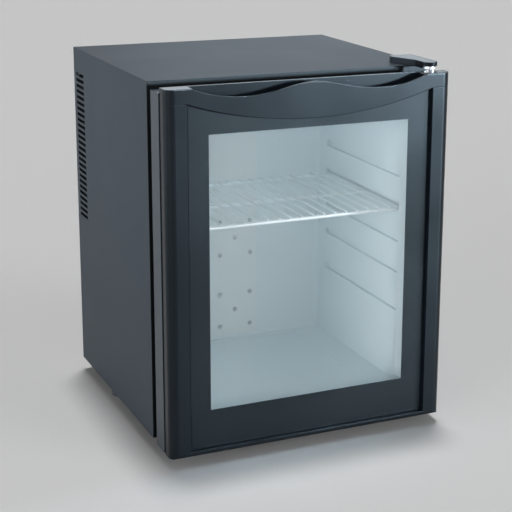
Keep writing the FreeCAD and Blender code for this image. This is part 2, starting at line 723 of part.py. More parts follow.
def feet():
    """Moulded feet: a wide sole, a neck, and a recess below for the screw."""
    solids = []
    for x, y in foot_places():
        sole = rod(FOOT_RADIUS, V(x, y, 0), V(0, 0, 1), FOOT_SOLE_HEIGHT, FOOT_SIDES)
        neck = tapered(FOOT_RADIUS, FOOT_NECK_RADIUS, V(x, y, FOOT_SOLE_HEIGHT), V(0, 0, 1),
                       FOOT_HEIGHT - FOOT_SOLE_HEIGHT, FOOT_SIDES)
        hole = rod(FOOT_SCREW_RADIUS, V(x, y, 0), V(0, 0, 1), FOOT_HEIGHT, SHANK_SIDES)
        recess = rod(FOOT_SCREW_HEAD_RADIUS, V(x, y, 0), V(0, 0, 1), FOOT_SOLE_HEIGHT, HEAD_SIDES)
        solids.append(sole.fuse(neck).removeSplitter().cut([hole, recess]))
    return group(solids)


def foot_screws():
    """Screws up through the feet into the base."""
    return group([pan_screw(V(x, y, FOOT_SOLE_HEIGHT), V(0, 0, -1), FOOT_SCREW_RADIUS,
                            FOOT_HEIGHT - FOOT_SOLE_HEIGHT + FOOT_SCREW_RISE,
                            FOOT_SCREW_HEAD_RADIUS, FOOT_SCREW_HEAD_HEIGHT) for x, y in foot_places()])


# Wire shelf


def shelf_height():
    """Middle of the shelf's frame rod, resting on the floor of its groove."""
    return guide_heights()[SHELF_GUIDE_INDEX] - GUIDE_HEIGHT / 2 + CLEARANCE + SHELF_ROD_RADIUS


def shelf_side():
    """Distance of the frame's side rods from the middle."""
    return CAVITY_HALF + GUIDE_DEPTH - SHELF_SIDE_PLAY - SHELF_ROD_RADIUS


def shelf_frame():
    """Rod bent into a rectangle, with its round corners bent in short steps."""
    middle_x = shelf_side() - SHELF_CORNER_RADIUS
    front = SHELF_FRONT + SHELF_CORNER_RADIUS
    back = SHELF_FRONT + SHELF_DEPTH - SHELF_CORNER_RADIUS
    corners = ((middle_x, back, 0), (-middle_x, back, 1), (-middle_x, front, 2), (middle_x, front, 3))
    loops = []
    for index in range(HEAD_SIDES):
        turn = 2 * math.pi * index / HEAD_SIDES
        radius = SHELF_CORNER_RADIUS + SHELF_ROD_RADIUS * math.cos(turn)
        z = shelf_height() + SHELF_ROD_RADIUS * math.sin(turn)
        loop = []
        for x, y, quarter in corners:
            for step in range(SHELF_BEND_STEPS + 1):
                angle = (quarter + step / SHELF_BEND_STEPS) * math.pi / 2
                loop.append(V(x + radius * math.cos(angle), y + radius * math.sin(angle), z))
        loops.append(loop)
    return ring_of(loops)


def shelf_cross_rod():
    """Rod across the middle of the frame, butted against its sides."""
    reach = shelf_side() - SHELF_ROD_RADIUS
    start = V(-reach, SHELF_FRONT + SHELF_DEPTH * SHELF_MIDDLE_SHARE, shelf_height())
    return rod(SHELF_ROD_RADIUS, start, V(1, 0, 0), reach * 2, HEAD_SIDES)


def shelf_wires():
    """Thin wires from front to back, lying on the frame and the cross rod."""
    z = shelf_height() + SHELF_ROD_RADIUS + WIRE_RADIUS
    count = int((shelf_side() * 2 - WIRE_SIDE_MARGIN * 2) / WIRE_PITCH)
    start = SHELF_FRONT - WIRE_OVERHANG
    length = SHELF_DEPTH + WIRE_OVERHANG * 2
    return group([rod(WIRE_RADIUS, V((index - count / 2) * WIRE_PITCH, start, z), V(0, 1, 0), length,
                      SHANK_SIDES) for index in range(count + 1)])


# Door frame and cap


def moulding_outline(z):
    """Plan of the outer moulding: square rear corners and round front corners."""
    x = HALF - MOULDING_INSET
    r = MOULDING_CORNER_RADIUS
    diagonal = r - r / math.sqrt(2)
    round_left = V(-x, DOOR_FRONT + r, z)
    round_right = V(x, DOOR_FRONT + r, z)
    back_left = V(-x, BODY_FRONT, z)
    back_right = V(x, BODY_FRONT, z)
    front_left = V(-x + r, DOOR_FRONT, z)
    front_right = V(x - r, DOOR_FRONT, z)
    return Part.Wire([
        Part.LineSegment(round_right, back_right).toShape(),
        Part.LineSegment(back_right, back_left).toShape(),
        Part.LineSegment(back_left, round_left).toShape(),
        Part.Arc(round_left, V(-x + diagonal, DOOR_FRONT + diagonal, z), front_left).toShape(),
        Part.LineSegment(front_left, front_right).toShape(),
        Part.Arc(front_right, V(x - diagonal, DOOR_FRONT + diagonal, z), round_right).toShape()])


def outer_moulding():
    """Front form of the door, with its front edges rounded on all four sides."""
    body = prism(moulding_outline(DOOR_BOTTOM), V(0, 0, DOOR_TOP - DOOR_BOTTOM))
    side = rounded_side(DOOR_BOTTOM_RADIUS, DOOR_TOP_RADIUS)
    return body.common(side)


def door_body():
    """Rear form of the door: a plain slab, a little lower than the moulding in front of it."""
    return block(-HALF, HALF, BODY_FRONT, DOOR_BACK, BODY_BOTTOM, BODY_TOP)


def rounded_side(low_radius, high_radius):
    """Side view of the door, swept across its width."""
    x = -HALF - OVERRUN
    low = low_radius - low_radius / math.sqrt(2)
    high = high_radius - high_radius / math.sqrt(2)
    back = DOOR_BACK + OVERRUN
    points = [V(x, back, DOOR_BOTTOM), V(x, DOOR_FRONT + low_radius, DOOR_BOTTOM),
              V(x, DOOR_FRONT, DOOR_BOTTOM + low_radius), V(x, DOOR_FRONT, DOOR_TOP - high_radius),
              V(x, DOOR_FRONT + high_radius, DOOR_TOP), V(x, back, DOOR_TOP)]
    low_middle = V(x, DOOR_FRONT + low, DOOR_BOTTOM + low)
    high_middle = V(x, DOOR_FRONT + high, DOOR_TOP - high)
    wire = Part.Wire([
        Part.LineSegment(points[0], points[1]).toShape(),
        Part.Arc(points[1], low_middle, points[2]).toShape(),
        Part.LineSegment(points[2], points[3]).toShape(),
        Part.Arc(points[3], high_middle, points[4]).toShape(),
        Part.LineSegment(points[4], points[5]).toShape(),
        Part.LineSegment(points[5], points[0]).toShape()])
    return prism(wire, V(WIDTH + OVERRUN * 2, 0, 0))


def above_arc(rise, half_width, y0, y1):
    """Everything over the cap's curved lower edge, raised by some height, within a half width."""
    z_end = CAP_JOINT + rise
    z_mid = CAP_ARC_BOTTOM + rise
    top = DOOR_TOP + OVERRUN
    sweep = V(0, y1 - y0, 0)
    arc = Part.Arc(V(-RECESS_HALF, y0, z_end), V(0, y0, z_mid), V(RECESS_HALF, y0, z_end)).toShape()
    wire = Part.Wire([
        arc,
        Part.LineSegment(V(RECESS_HALF, y0, z_end), V(RECESS_HALF, y0, top)).toShape(),
        Part.LineSegment(V(RECESS_HALF, y0, top), V(-RECESS_HALF, y0, top)).toShape(),
        Part.LineSegment(V(-RECESS_HALF, y0, top), V(-RECESS_HALF, y0, z_end)).toShape()])
    limit = block(-half_width, half_width, y0, y1, z_mid - OVERRUN, top)
    return prism(wire, sweep).common(limit)


def cap_region():
    """Space of the cap: all over the joint, and down to the curved lower edge between the pillars."""
    y0 = DOOR_FRONT - OVERRUN
    ends = block(-HALF, HALF, y0, BODY_FRONT, CAP_JOINT, DOOR_TOP + OVERRUN)
    return ends.fuse(above_arc(0, RECESS_HALF, y0, BODY_FRONT)).removeSplitter()


def pane_solid(gap):
    """Outer pane, or with a gap the slot that holds it."""
    y0 = PANE_FRONT - gap
    y1 = PANE_BACK + gap
    sheet = block(-PANE_HALF - gap, PANE_HALF + gap, y0, y1, PANE_BOTTOM - gap, DOOR_TOP)
    return sheet.cut(above_arc(CAP_PANE_COVER + gap, RECESS_HALF, y0 - OVERRUN, y1 + OVERRUN))


def hinge_boss(z0, z1):
    """Solid corner of the door body round a hinge bush, between two heights."""
    reach = BUSH_RADIUS + DOOR_WALL
    return block(HINGE_X - reach, HALF, BODY_FRONT, HINGE_Y + reach, z0, z1)


def door_hollow():
    """Space inside the door, open at the back, round the two hinge bosses and under the cap."""
    wall = BODY_FRONT + DOOR_WALL
    floor = BODY_BOTTOM + DOOR_WALL
    half = HALF - MOULDING_INSET - MOULDING_CORNER_RADIUS - DOOR_WALL
    front = block(-half, half, PANE_BACK + DOOR_WALL, wall, floor, CAP_JOINT - DOOR_WALL)
    front = front.cut(above_arc(-DOOR_WALL, RECESS_HALF, DOOR_FRONT - OVERRUN, wall))
    rear = block(-HALF + DOOR_WALL, HALF - DOOR_WALL, wall, DOOR_BACK, floor, BODY_TOP - DOOR_WALL)
    rise = PIN_LENGTH + DOOR_WALL
    bosses = [hinge_boss(BODY_BOTTOM, BODY_BOTTOM + rise), hinge_boss(BODY_TOP - rise, BODY_TOP)]
    return front.fuse(rear).removeSplitter().cut(bosses)


def glazing_space(back):
    """Space of the sealed unit and all in front of it, grown by the clearance."""
    return block(-UNIT_HALF - CLEARANCE, UNIT_HALF + CLEARANCE, DOOR_FRONT - OVERRUN, back,
                 UNIT_BOTTOM - CLEARANCE, UNIT_TOP + CLEARANCE)


def door_frame():
    """Dark shell of the door: two round pillars, a bottom rail, the web behind the pane and the body."""
    body = outer_moulding().cut(cap_region()).fuse(door_body()).removeSplitter()
    recess = block(-RECESS_HALF, RECESS_HALF, DOOR_FRONT - OVERRUN, PANE_BACK, PANE_BOTTOM - CLEARANCE,
                   DOOR_TOP + OVERRUN)
    low_bush = hinge_rod(BUSH_RADIUS, BODY_BOTTOM - OVERRUN, BODY_BOTTOM + PIN_LENGTH, BUSH_SIDES)
    high_bush = hinge_rod(BUSH_RADIUS, BODY_TOP - PIN_LENGTH, BODY_TOP + OVERRUN, BUSH_SIDES)
    cuts = [recess, door_hollow(), glazing_space(DOOR_BACK + OVERRUN), low_bush, high_bush]
    return body.cut(cuts).removeSplitter()


def door_foam():
    """Foam that fills the moulding round the sealed unit."""
    return door_hollow().cut([glazing_space(INNER_PANE_BACK), door_flange(), door_reveal()]).removeSplitter()


def scallop_space():
    """Space over the two finger scallops in the cap's front edge."""
    y0 = DOOR_FRONT - OVERRUN
    top = DOOR_TOP + OVERRUN
    peak = DOOR_TOP - SCALLOP_PEAK_DROP
    reach = HALF - SCALLOP_SIDE_MARGIN
    half = [V(x * reach, y0, peak - depth * SCALLOP_DEPTH)
            for x, depth in zip(SCALLOP_X_SHARES, SCALLOP_DEPTH_SHARES)]
    points = [V(-at.x, at.y, at.z) for at in reversed(half[1:])] + half
    curve = Part.BSplineCurve()
    curve.interpolate(points)
    wire = Part.Wire([
        curve.toShape(),
        Part.LineSegment(points[-1], V(reach, y0, top)).toShape(),
        Part.LineSegment(V(reach, y0, top), V(-reach, y0, top)).toShape(),
        Part.LineSegment(V(-reach, y0, top), points[0]).toShape()])
    return prism(wire, V(0, BODY_FRONT - CAP_REAR_WALL - y0, 0))


def door_top_cap():
    """Handle moulding: a finger trough behind a scalloped front wall, over the top of the pane."""
    body = outer_moulding().common(cap_region())
    trough = above_arc(CAP_TROUGH_FLOOR, HALF - CAP_TROUGH_SIDE_MARGIN, DOOR_FRONT + CAP_FRONT_WALL,
                       BODY_FRONT - CAP_REAR_WALL)
    return body.cut([scallop_space(), trough, pane_solid(CLEARANCE)]).removeSplitter()


# Glazing


def outer_pane():
    """Large front pane with a curved top edge that lies behind the cap."""
    return pane_solid(0)


def inner_pane():
    """Smaller pane at the back of the sealed unit."""
    return block(-UNIT_HALF, UNIT_HALF, INNER_PANE_FRONT, INNER_PANE_BACK, UNIT_BOTTOM, UNIT_TOP)


def glass_spacer():
    """Hollow aluminium spacer between the panes."""
    outer = SPACER_EDGE
    inner = SPACER_EDGE + SPACER_WIDTH
    profile = ((outer, PANE_BACK), (inner, PANE_BACK), (inner, INNER_PANE_FRONT), (outer, INNER_PANE_FRONT))
    bar = frame_ring(profile, UNIT_HALF, UNIT_BOTTOM, UNIT_TOP)
    wall = SPACER_WALL
    hollow = ((outer + wall, PANE_BACK + wall), (inner - wall, PANE_BACK + wall),
              (inner - wall, INNER_PANE_FRONT - wall), (outer + wall, INNER_PANE_FRONT - wall))
    return bar.cut(frame_ring(hollow, UNIT_HALF, UNIT_BOTTOM, UNIT_TOP))


# Inner side of the door


def door_flange():
    """Plate over the door's open back."""
    half = HALF - DOOR_WALL
    return block(-half, half, DOOR_BACK - LINER_FRAME_WALL, DOOR_BACK, BODY_BOTTOM + DOOR_WALL,
                 BODY_TOP - DOOR_WALL)


def door_reveal():
    """Block of the reveal between the sealed unit and the door's back."""
    edge = LINER_FRAME_OPENING_MARGIN - LINER_FRAME_WALL
    return block(-UNIT_HALF + edge, UNIT_HALF - edge, INNER_PANE_BACK, DOOR_BACK, UNIT_BOTTOM + edge,
                 UNIT_TOP - edge)


def door_liner_frame():
    """White inner frame: a back flange, and a reveal that presses the sealed unit to the web."""
    edge = LINER_FRAME_OPENING_MARGIN
    opening = block(-UNIT_HALF + edge, UNIT_HALF - edge, INNER_PANE_BACK, DOOR_BACK, UNIT_BOTTOM + edge,
                    UNIT_TOP - edge)
    return door_flange().fuse(door_reveal()).removeSplitter().cut(opening)


def gasket_profile():
    """Section of the gasket: a base on the door, a narrow neck and a wide magnet bulb."""
    bulb_front = -CLEARANCE - GASKET_BULB
    neck_front = DOOR_BACK + GASKET_BASE
    neck = (GASKET_WIDTH - GASKET_NECK) / 2
    far_neck = GASKET_WIDTH - neck
    return ((0, DOOR_BACK), (GASKET_WIDTH, DOOR_BACK), (GASKET_WIDTH, neck_front), (far_neck, neck_front),
            (far_neck, bulb_front), (GASKET_WIDTH, bulb_front), (GASKET_WIDTH, -CLEARANCE),
            (0, -CLEARANCE), (0, bulb_front), (neck, bulb_front), (neck, neck_front), (0, neck_front))


def door_gasket():
    """Magnetic gasket round the door's back, with channels for its magnets."""
    ring = frame_ring(gasket_profile(), HALF - GASKET_SIDE_MARGIN, CABINET_BOTTOM + GASKET_BOTTOM_MARGIN,
                      CABINET_TOP - GASKET_TOP_MARGIN)
    return ring.cut(magnet_strips())


def magnet_strips():
    """Four flat magnet strips in the gasket's bulb."""
    middle = GASKET_WIDTH / 2
    y1 = -CLEARANCE - (GASKET_BULB - MAGNET_THICKNESS) / 2
    y0 = y1 - MAGNET_THICKNESS
    x = HALF - GASKET_SIDE_MARGIN - middle
    low = CABINET_BOTTOM + GASKET_BOTTOM_MARGIN + middle
    high = CABINET_TOP - GASKET_TOP_MARGIN - middle
    half = MAGNET_WIDTH / 2
    end = half + MAGNET_END_GAP
    return [block(-x + end, x - end, y0, y1, low - half, low + half),
            block(-x + end, x - end, y0, y1, high - half, high + half),
            block(-x - half, -x + half, y0, y1, low + end, high - end),
            block(x - half, x + half, y0, y1, low + end, high - end)]


# Hinges


def hinge_rod(radius, z0, z1, sides=0):
    """Bar on the hinge axis between two heights."""
    return rod(radius, V(HINGE_X, HINGE_Y, z0), V(0, 0, 1), z1 - z0, sides)


def hinge_bush(z0, z1, flange_z0, flange_z1):
    """Flanged nylon bush between two heights, with its flange at one end."""
    body = hinge_rod(BUSH_RADIUS, z0, z1, BUSH_SIDES)
    flange = hinge_rod(BUSH_RADIUS + BUSH_FLANGE, flange_z0, flange_z1, BUSH_SIDES)
    bore = hinge_rod(PIN_RADIUS + RUNNING_CLEARANCE, z0 - OVERRUN, z1 + OVERRUN)
    return body.fuse(flange).removeSplitter().cut(bore)


def top_hinge_bush():
    """Bush let into the top of the door's body."""
    return hinge_bush(BODY_TOP - PIN_LENGTH, BODY_TOP, BODY_TOP, BODY_TOP + BUSH_FLANGE_THICKNESS)


def bottom_hinge_bush():
    """Bush let into the bottom of the door's body, whose thick flange stands clear of the moulding."""
    return hinge_bush(BODY_BOTTOM, BODY_BOTTOM + PIN_LENGTH, DOOR_BOTTOM - BUSH_FLANGE_THICKNESS,
                      BODY_BOTTOM)


def nose_plate(left_points, radius, z0, thickness):
    """Plate with a round nose on the hinge axis, from its left side round to a straight right side."""
    tip = V(HINGE_X, HINGE_Y - radius, z0)
    left = V(HINGE_X - radius, HINGE_Y, z0)
    right = V(HINGE_X + radius, HINGE_Y, z0)
    back = V(right.x, left_points[0][1], z0)
    stops = [V(x, y, z0) for x, y in left_points] + [left]
    edges = [Part.LineSegment(start, end).toShape() for start, end in zip(stops, stops[1:])]
    edges.append(Part.Arc(left, tip, right).toShape())
    edges.append(Part.LineSegment(right, back).toShape())
    edges.append(Part.LineSegment(back, stops[0]).toShape())
    return prism(Part.Wire(edges), V(0, 0, thickness))


def top_hinge_screw_places():
    """Seats of the two screws on the top bracket."""
    x = HINGE_X + (TOP_ARM_HALF_WIDTH - TOP_PLATE_REACH) / 2
    z = CABINET_TOP + HINGE_PLATE
    return [V(x + side * TOP_PLATE_SCREW_PITCH / 2, TOP_PLATE_SCREW_Y, z) for side in (-1, 1)]


def top_hinge_screw_rods():
    """Bars along the top bracket's screws."""
    return [case_screw_hole(at, V(0, 0, -1), SCREW_LENGTH) for at in top_hinge_screw_places()]


def top_hinge_bracket():
    """Steel plate on the cabinet's top whose arm carries the upper pin."""
    edge = HINGE_X - TOP_PLATE_REACH
    left = ((edge, TOP_PLATE_BACK), (edge, TOP_PLATE_KNEE_Y), (HINGE_X - TOP_ARM_HALF_WIDTH, TOP_ARM_START_Y))
    plate = nose_plate(left, TOP_ARM_HALF_WIDTH, CABINET_TOP, HINGE_PLATE)
    pin_hole = hinge_rod(PIN_RADIUS, CABINET_TOP - OVERRUN, CABINET_TOP + OVERRUN)
    return plate.cut([pin_hole] + top_hinge_screw_rods())


def top_hinge_pin():
    """Upper pin, riveted in the bracket and standing down into the bush."""
    plate_top = CABINET_TOP + HINGE_PLATE
    shank = hinge_rod(PIN_RADIUS, BODY_TOP - PIN_LENGTH + CLEARANCE, plate_top)
    head = hinge_rod(PIN_HEAD_RADIUS, plate_top, plate_top + PIN_HEAD_HEIGHT, HEAD_SIDES)
    return shank.fuse(head).removeSplitter()


def top_hinge_screws():
    """Two screws that hold the top bracket."""
    return group([case_screw(at, V(0, 0, 1), SCREW_LENGTH) for at in top_hinge_screw_places()])


def hinge_cover_body(inset, top):
    """Outer form of the hinge cover, or of its hollow when inset."""
    radius = HALF - HINGE_COVER_SIDE_GAP - HINGE_X - inset
    edge = HALF - HINGE_COVER_WIDTH + inset
    left = ((edge + HINGE_COVER_SIDE_GAP, HINGE_COVER_BACK - inset), (edge, HINGE_COVER_LEFT_Y),
            (HINGE_X - radius, HINGE_COVER_KNEE_Y))
    return nose_plate(left, radius, CABINET_TOP, top - CABINET_TOP)


def top_hinge_cover():
    """Glossy moulded cap that hides the top bracket, lifted at its nose over the pin."""
    top = CABINET_TOP + HINGE_COVER_HEIGHT
    outside = hinge_cover_body(0, top)
    inside = hinge_cover_body(HINGE_COVER_WALL, top - HINGE_COVER_WALL)
    nose = block(HALF - HINGE_COVER_WIDTH, HALF, DOOR_FRONT, HINGE_COVER_NOSE_Y, CABINET_TOP - OVERRUN,
                 CABINET_TOP + HINGE_COVER_NOSE_LIFT)
    return outside.cut([inside, nose])


def bottom_hinge_screw_places():
    """Seats of the two screws under the bottom bracket."""
    x = HALF - SHEET - BOTTOM_PLATE_WIDTH / 2
    z = CABINET_BOTTOM - HINGE_PLATE
    return [V(x + side * BOTTOM_SCREW_PITCH / 2, BOTTOM_SCREW_Y, z) for side in (-1, 1)]


def bottom_hinge_screw_rods():
    """Bars along the bottom bracket's screws."""
    return [case_screw_hole(at, V(0, 0, 1), SCREW_LENGTH) for at in bottom_hinge_screw_places()]


def bottom_arm_top():
    """Top face of the bottom bracket's arm, a running gap below the bush."""
    return DOOR_BOTTOM - BUSH_FLANGE_THICKNESS - CLEARANCE


def bottom_hinge_bracket():
    """Stepped steel bracket: a plate under the base, a short web, and an arm under the door."""
    right = HALF - SHEET
    left = right - BOTTOM_PLATE_WIDTH
    arm_top = bottom_arm_top()
    plate = block(left, right, BOTTOM_WEB_Y, BOTTOM_PLATE_BACK, CABINET_BOTTOM - HINGE_PLATE, CABINET_BOTTOM)
    web = block(left, right, BOTTOM_WEB_Y, BOTTOM_WEB_Y + HINGE_PLATE, arm_top - HINGE_PLATE, CABINET_BOTTOM)
    outline = ((left, BOTTOM_WEB_Y + HINGE_PLATE), (left, BOTTOM_WEB_Y),
               (HINGE_X - BOTTOM_ARM_HALF_WIDTH, HINGE_Y / 2))
    arm = nose_plate(outline, BOTTOM_ARM_HALF_WIDTH, arm_top - HINGE_PLATE, HINGE_PLATE)
    bracket = plate.fuse([web, arm]).removeSplitter()
    pin_hole = hinge_rod(PIN_RADIUS, arm_top - HINGE_PLATE, arm_top)
    return bracket.cut([pin_hole] + bottom_hinge_screw_rods())


def bottom_hinge_pin():
    """Lower pin, riveted in the bracket and standing up into the bush."""
    arm_top = bottom_arm_top()
    arm_bottom = arm_top - HINGE_PLATE
    shank = hinge_rod(PIN_RADIUS, arm_bottom, BODY_BOTTOM + PIN_LENGTH - CLEARANCE)
    head = hinge_rod(PIN_HEAD_RADIUS, arm_bottom - PIN_HEAD_HEIGHT, arm_bottom, HEAD_SIDES)
    return shank.fuse(head).removeSplitter()


def bottom_hinge_screws():
    """Two screws up through the bottom bracket."""
    return group([case_screw(at, V(0, 0, -1), SCREW_LENGTH) for at in bottom_hinge_screw_places()])


def build():
    """Make every piece and write it under its node's name."""
    os.makedirs("parts", exist_ok=True)
    left = left_side_panel()
    save("left_side_panel", left)
    save("right_side_panel", mirrored(left))
    save("top_panel", top_panel())
    save("base_pan", base_pan())
    save("rear_bulkhead", rear_bulkhead())
    save("inner_liner", inner_liner())
    save("foam_insulation", foam_insulation())
    save("rear_wall_plate", rear_wall_plate())
    save("upper_plate_screws", upper_plate_screws())
    save("lower_plate_screws", lower_plate_screws())
    save("cold_blocks", cold_blocks())
    save("thermoelectric_modules", thermoelectric_modules())
    save("heat_sink", heat_sink())
    save("sink_standoffs", sink_standoffs())
    save("sink_screws", sink_screws())
    save("power_supply", power_supply())
    save("rear_cover", rear_cover())
    save("rear_cover_screws", rear_cover_screws())
    save("mains_inlet", mains_inlet())
    save("inlet_pins", group(inlet_pin_blocks()))
    save("feet", feet())
    save("foot_screws", foot_screws())
    save("shelf_frame", shelf_frame())
    save("shelf_cross_rod", shelf_cross_rod())
    save("shelf_wires", shelf_wires())
    save("door_frame", door_frame())
    save("door_foam", door_foam())
    save("door_top_cap", door_top_cap())
    save("outer_pane", outer_pane())
    save("glass_spacer", glass_spacer())
    save("inner_pane", inner_pane())
    save("door_liner_frame", door_liner_frame())
    save("door_gasket", door_gasket())
    save("gasket_magnets", group(magnet_strips()))
    save("top_hinge_bush", top_hinge_bush())
    save("bottom_hinge_bush", bottom_hinge_bush())
    save("top_hinge_bracket", top_hinge_bracket())
    save("top_hinge_pin", top_hinge_pin())
    save("top_hinge_screws", top_hinge_screws())
    save("top_hinge_cover", top_hinge_cover())
    save("bottom_hinge_bracket", bottom_hinge_bracket())
    save("bottom_hinge_pin", bottom_hinge_pin())
    save("bottom_hinge_screws", bottom_hinge_screws())


build()
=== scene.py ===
import json
import math

import bpy
from mathutils import Matrix, Vector


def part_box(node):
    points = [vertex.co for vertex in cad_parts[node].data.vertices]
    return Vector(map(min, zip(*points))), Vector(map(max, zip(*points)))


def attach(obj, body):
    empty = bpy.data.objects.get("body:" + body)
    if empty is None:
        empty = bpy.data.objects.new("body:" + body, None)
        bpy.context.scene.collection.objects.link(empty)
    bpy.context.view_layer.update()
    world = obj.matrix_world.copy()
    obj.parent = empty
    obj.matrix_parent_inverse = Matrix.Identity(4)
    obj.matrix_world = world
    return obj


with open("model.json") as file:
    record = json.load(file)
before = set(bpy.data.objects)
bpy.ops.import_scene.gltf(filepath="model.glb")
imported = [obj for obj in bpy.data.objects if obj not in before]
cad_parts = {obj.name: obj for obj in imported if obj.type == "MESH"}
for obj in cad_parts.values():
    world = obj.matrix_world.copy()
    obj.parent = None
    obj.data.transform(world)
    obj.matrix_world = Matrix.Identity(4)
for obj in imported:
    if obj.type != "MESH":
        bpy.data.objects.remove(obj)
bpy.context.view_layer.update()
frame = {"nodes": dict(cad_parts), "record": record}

# Metres, in the part's frame: the door faces -Y, the hinges are at +X and the floor is z = 0.

# Camera, solved from the straight edges in the photograph; its sensor's width is in millimetres
IMAGE_SIZE = 512
SENSOR_WIDTH = 36.0
FOCAL_PIXELS = 1381.7
MIDDLE_OFF_X = 60.0
MIDDLE_OFF_Y = -45.0
CAMERA_AZIMUTH = math.radians(-25.376)
CAMERA_ELEVATION = math.radians(14.619)
CAMERA_ROLL = math.radians(0.665)
CAMERA_DISTANCE = 1.873
CAMERA_TARGET = Vector((0.0358, -0.1339, 0.3087))
NEAREST_SEEN = 0.05
FARTHEST_SEEN = 100.0

# Backdrop and floor
BACKDROP = (0.558, 0.558, 0.558)
BACKDROP_STRENGTH = 1.0
SKY = (0.98, 0.99, 1.0)
SKY_STRENGTH = 0.174
FLOOR_SIZE = 30.0
FLOOR_LOOK = dict(color=(0.55, 0.55, 0.55), roughness=0.9, specular=0.0, grain=80.0, mottle=3.0,
                  mottle_share=0.0)

# Colours that several finishes or lamps share
NEUTRAL = (1.0, 1.0, 1.0)
COOL_SHEEN = (0.80, 0.94, 1.0)
COOL_LIGHT = (0.84, 1.0, 1.16)
MOULDING = (0.0042, 0.0064, 0.0095)
BLACK_PLASTIC = (0.010, 0.010, 0.011)

# Second colours: the cabinet's faces towards the door are painted near black, a painted shade of the gap
# between door and cabinet, and the door's body has a lighter shade of the cabinet's paint
PAINTED_GAP_SHADE = (0.002, 0.002, 0.002)
DOOR_BODY = (0.034, 0.046, 0.060)
FACES_DOOR = -0.9

# Noise and softened edges of every finish
NOISE_DETAIL = 6.0
GRAIN_DETAIL = 3.0
NOISE_LOW = 0.3
NOISE_HIGH = 0.7
EDGE_SAMPLES = 6

# Glass
GLASS_GRAIN = dict(grain=60.0, grain_depth=0.000001, mottle=5.0, spread=0.03)
GLASS_IOR = 1.3
FILM_SCALE = 7.0
FILM_DETAIL = 4.0
FILM_UNEVEN = 0.2

# Printed border of the glass
WINDOW_SIDE = 0.017
WINDOW_BOTTOM = 0.015
WINDOW_TOP = 0.006
PRINT_DEPTH = 0.0001
PRINT_UNDER_CAP = 0.002
PRINT_SIDE_STEPS = 3
PRINT_TOP_STEPS = 12

# Finishes of the record's slots, apart from the glazing, which is OUTER_GLASS below. Grain and mottle
# are noise scales, grain depth and edge are metres, the mottle's share is a part of the colour, and the
# sheen tints the gloss.
LOOKS = {
    "cabinet_paint": dict(color=(0.0245, 0.0325, 0.0425), roughness=0.5, specular=0.15, sheen=COOL_SHEEN,
                          grain=1400.0, edge=0.0008),
    "door_plastic": dict(color=MOULDING, roughness=0.25, specular=0.20, sheen=COOL_SHEEN, grain=1800.0,
                         grain_depth=0.00001, edge=0.0008),
    "cap_plastic": dict(color=MOULDING, roughness=0.25, specular=0.20, sheen=COOL_SHEEN, grain=1800.0,
                        grain_depth=0.00001, edge=0.0014),
    "liner_plastic": dict(color=(0.76, 0.85, 0.88), roughness=0.38, grain=300.0, grain_depth=0.00004,
                          mottle=6.0, mottle_share=0.01, edge=0.0012),
    "cold_plate_paint": dict(color=(0.80, 0.86, 0.86), roughness=0.45, grain=500.0, grain_depth=0.00004,
                             mottle=8.0, mottle_share=0.01, edge=0.0006),
    "foam": dict(color=(0.72, 0.63, 0.42), roughness=0.9, grain=600.0, grain_depth=0.0003, mottle=60.0,
                 mottle_share=0.15),
    "spacer_metal": dict(color=(0.62, 0.64, 0.66), roughness=0.35, metallic=1.0, stretch=(1.0, 1.0, 8.0)),
    "gasket_rubber": dict(color=(0.012, 0.012, 0.014), roughness=0.6, grain=700.0, grain_depth=0.00005),
    "magnet": dict(color=(0.03, 0.028, 0.028), roughness=0.6),
    "zinc_steel": dict(color=(0.72, 0.73, 0.74), roughness=0.28, metallic=1.0, mottle=120.0,
                       mottle_share=0.12),
    "dark_steel": dict(color=(0.014, 0.015, 0.016), roughness=0.5, edge=0.0006),
    "bright_screw": dict(color=(0.62, 0.63, 0.64), roughness=0.22, metallic=1.0, mottle=400.0,
                         mottle_share=0.1, edge=0.0004),
    "white_screw": dict(color=(0.34, 0.38, 0.39), roughness=0.4),
    "sink_aluminium": dict(color=(0.55, 0.56, 0.57), roughness=0.42, metallic=1.0, stretch=(6.0, 6.0, 0.4)),
    "module_ceramic": dict(color=(0.80, 0.80, 0.77), roughness=0.6),
    "supply_plastic": dict(color=BLACK_PLASTIC, roughness=0.55, edge=0.0008),
    "inlet_plastic": dict(color=(0.008, 0.008, 0.008), roughness=0.5, edge=0.0006),
    "brass_pin": dict(color=(0.60, 0.46, 0.18), roughness=0.3, metallic=1.0),
    "foot_rubber": dict(color=BLACK_PLASTIC, roughness=0.7, edge=0.0008),
    "shelf_coating": dict(color=(0.88, 0.96, 0.98), roughness=0.3, mottle=9.0, mottle_share=0.01),
    "cover_gloss": dict(color=(0.008, 0.010, 0.013), roughness=0.24, specular=0.12, sheen=COOL_SHEEN,
                        mottle=8.0, mottle_share=0.1, edge=0.0012),
    "nylon": dict(color=(0.74, 0.73, 0.68), roughness=0.5, edge=0.0005),
}
BUSH_LOOK = dict(color=(0.014, 0.014, 0.015), roughness=0.45)
PIN_LOOK = dict(color=(0.30, 0.32, 0.34), roughness=0.3, metallic=1.0, mottle=300.0, mottle_share=0.2)
PRINT_LOOK = dict(color=(0.004, 0.006, 0.008), roughness=0.5, specular=0.02, sheen=COOL_SHEEN, grain=2200.0,
                  grain_depth=0.000005)
OUTER_GLASS = dict(veil=COOL_SHEEN, film=0.0, roughness=0.25, metallic=1.0)
INNER_GLASS = dict(veil=(0.66, 0.80, 0.85), film=0.08, roughness=0.06, metallic=0.0)


# Helpers


def add_object(name, data):
    """Object in the scene that carries a mesh, lamp or camera."""
    holder = bpy.data.objects.new(name, data)
    bpy.context.scene.collection.objects.link(holder)
    return holder


